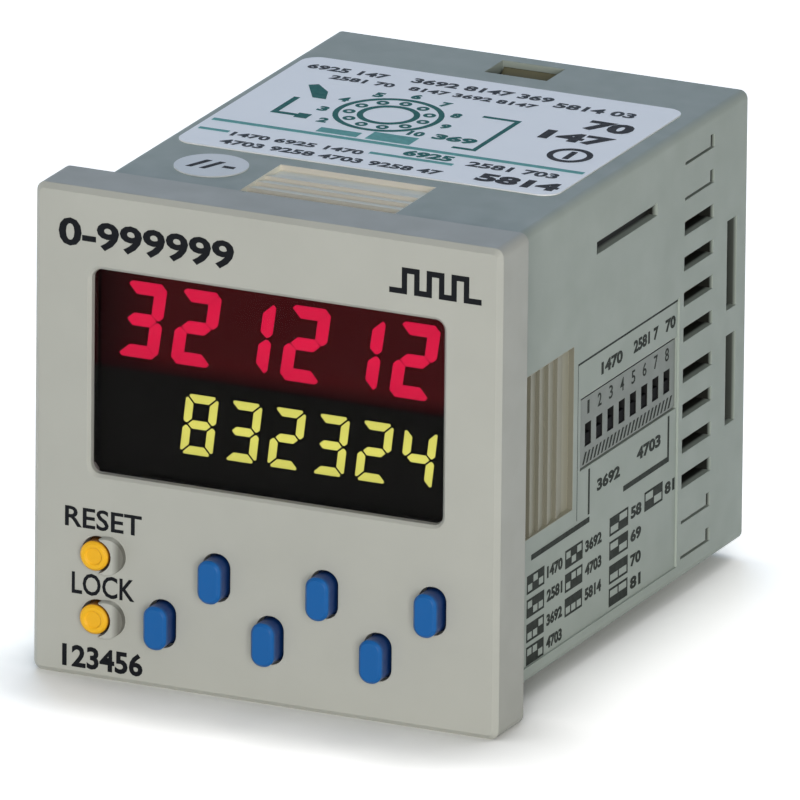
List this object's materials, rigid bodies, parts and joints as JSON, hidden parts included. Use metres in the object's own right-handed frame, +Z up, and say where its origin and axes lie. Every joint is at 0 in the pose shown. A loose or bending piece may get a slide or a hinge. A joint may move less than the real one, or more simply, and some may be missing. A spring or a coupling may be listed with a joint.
{
  "type": "panel counter",
  "caption": "Square panel-mount electronic counter: display and push keys in a bezel, vented case with ratchet fields and setting switches, round pin plug at the rear.",
  "frame": {"origin": "middle of the bezel's rear face, which seats on the panel", "axes": "+X to the right seen from the front, +Y into the panel towards the plug, +Z up"},
  "size_m": [0.048, 0.0776, 0.048],
  "materials": {
    "bezel_grey": "fine moulded texture",
    "case_grey": "fine moulded texture",
    "base_beige": "moulded",
    "window_smoke": "smoked, glossy",
    "key_blue": "satin",
    "key_yellow": "satin",
    "switch_grey": "moulded",
    "slider_black": "moulded",
    "label_film": "printed film",
    "sticker_film": "printed film",
    "lcd_dark": "polished",
    "holder_white": "moulded",
    "light_guide": "diffusing",
    "strip_rubber": "layered",
    "board_green": "solder mask",
    "tact_grey": "moulded",
    "chip_black": "moulded",
    "can_steel": "drawn",
    "transformer_core": "varnished",
    "relay_white": "moulded",
    "capacitor_sleeve": "shrink sleeve",
    "pin_metal": "plated"
  },
  "bodies": {
    "housing": {"front_bezel": "bezel_grey", "case": "case_grey", "rear_base": "base_beige", "display_window": "window_smoke", "dip_switch": "switch_grey", "top_label": "label_film", "round_sticker": "sticker_film", "lcd_glass": "lcd_dark", "lcd_holder": "holder_white", "backlight": "light_guide", "strip_connector_1": "strip_rubber", "strip_connector_2": "strip_rubber", "display_board": "board_green", "main_board": "board_green", "power_board": "board_green", "tact_switch_1": "tact_grey", "tact_switch_2": "tact_grey", "tact_switch_3": "tact_grey", "tact_switch_4": "tact_grey", "tact_switch_5": "tact_grey", "tact_switch_6": "tact_grey", "tact_switch_7": "tact_grey", "tact_switch_8": "tact_grey", "microcontroller": "chip_black", "board_header_1": "chip_black", "board_header_2": "chip_black", "crystal": "can_steel", "transformer": "transformer_core", "relay": "relay_white", "capacitor_1": "capacitor_sleeve", "capacitor_2": "capacitor_sleeve", "plug_pin_1": "pin_metal", "plug_pin_2": "pin_metal", "plug_pin_3": "pin_metal", "plug_pin_4": "pin_metal", "plug_pin_5": "pin_metal", "plug_pin_6": "pin_metal", "plug_pin_7": "pin_metal", "plug_pin_8": "pin_metal", "plug_pin_9": "pin_metal", "plug_pin_10": "pin_metal", "plug_pin_11": "pin_metal"},
    "digit_key_1": {"digit_key_1": "key_blue"},
    "digit_key_2": {"digit_key_2": "key_blue"},
    "digit_key_3": {"digit_key_3": "key_blue"},
    "digit_key_4": {"digit_key_4": "key_blue"},
    "digit_key_5": {"digit_key_5": "key_blue"},
    "digit_key_6": {"digit_key_6": "key_blue"},
    "reset_key": {"reset_key": "key_yellow"},
    "lock_key": {"lock_key": "key_yellow"},
    "dip_slider_1": {"dip_slider_1": "slider_black"},
    "dip_slider_2": {"dip_slider_2": "slider_black"},
    "dip_slider_3": {"dip_slider_3": "slider_black"},
    "dip_slider_4": {"dip_slider_4": "slider_black"},
    "dip_slider_5": {"dip_slider_5": "slider_black"},
    "dip_slider_6": {"dip_slider_6": "slider_black"},
    "dip_slider_7": {"dip_slider_7": "slider_black"},
    "dip_slider_8": {"dip_slider_8": "slider_black"}
  },
  "joints": [
    {"name": "digit_key_1_press", "type": "slide", "parent": "housing", "child": "digit_key_1", "axis": [0, 1, 0], "range_m": [0, 0.0006], "stiffness_N_per_m": 1500},
    {"name": "digit_key_2_press", "type": "slide", "parent": "housing", "child": "digit_key_2", "axis": [0, 1, 0], "range_m": [0, 0.0006], "stiffness_N_per_m": 1500},
    {"name": "digit_key_3_press", "type": "slide", "parent": "housing", "child": "digit_key_3", "axis": [0, 1, 0], "range_m": [0, 0.0006], "stiffness_N_per_m": 1500},
    {"name": "digit_key_4_press", "type": "slide", "parent": "housing", "child": "digit_key_4", "axis": [0, 1, 0], "range_m": [0, 0.0006], "stiffness_N_per_m": 1500},
    {"name": "digit_key_5_press", "type": "slide", "parent": "housing", "child": "digit_key_5", "axis": [0, 1, 0], "range_m": [0, 0.0006], "stiffness_N_per_m": 1500},
    {"name": "digit_key_6_press", "type": "slide", "parent": "housing", "child": "digit_key_6", "axis": [0, 1, 0], "range_m": [0, 0.0006], "stiffness_N_per_m": 1500},
    {"name": "reset_key_press", "type": "slide", "parent": "housing", "child": "reset_key", "axis": [0, 1, 0], "range_m": [0, 0.0006], "stiffness_N_per_m": 1500},
    {"name": "lock_key_press", "type": "slide", "parent": "housing", "child": "lock_key", "axis": [0, 1, 0], "range_m": [0, 0.0006], "stiffness_N_per_m": 1500},
    {"name": "dip_slider_1_slide", "type": "slide", "parent": "housing", "child": "dip_slider_1", "axis": [0, 0, 1], "range_m": [0, 0.00095]},
    {"name": "dip_slider_2_slide", "type": "slide", "parent": "housing", "child": "dip_slider_2", "axis": [0, 0, 1], "range_m": [0, 0.00095]},
    {"name": "dip_slider_3_slide", "type": "slide", "parent": "housing", "child": "dip_slider_3", "axis": [0, 0, 1], "range_m": [0, 0.00095]},
    {"name": "dip_slider_4_slide", "type": "slide", "parent": "housing", "child": "dip_slider_4", "axis": [0, 0, 1], "range_m": [0, 0.00095]},
    {"name": "dip_slider_5_slide", "type": "slide", "parent": "housing", "child": "dip_slider_5", "axis": [0, 0, 1], "range_m": [0, 0.00095]},
    {"name": "dip_slider_6_slide", "type": "slide", "parent": "housing", "child": "dip_slider_6", "axis": [0, 0, 1], "range_m": [0, 0.00095]},
    {"name": "dip_slider_7_slide", "type": "slide", "parent": "housing", "child": "dip_slider_7", "axis": [0, 0, 1], "range_m": [0, 0.00095]},
    {"name": "dip_slider_8_slide", "type": "slide", "parent": "housing", "child": "dip_slider_8", "axis": [0, 0, 1], "range_m": [0, 0.00095]}
  ]
}
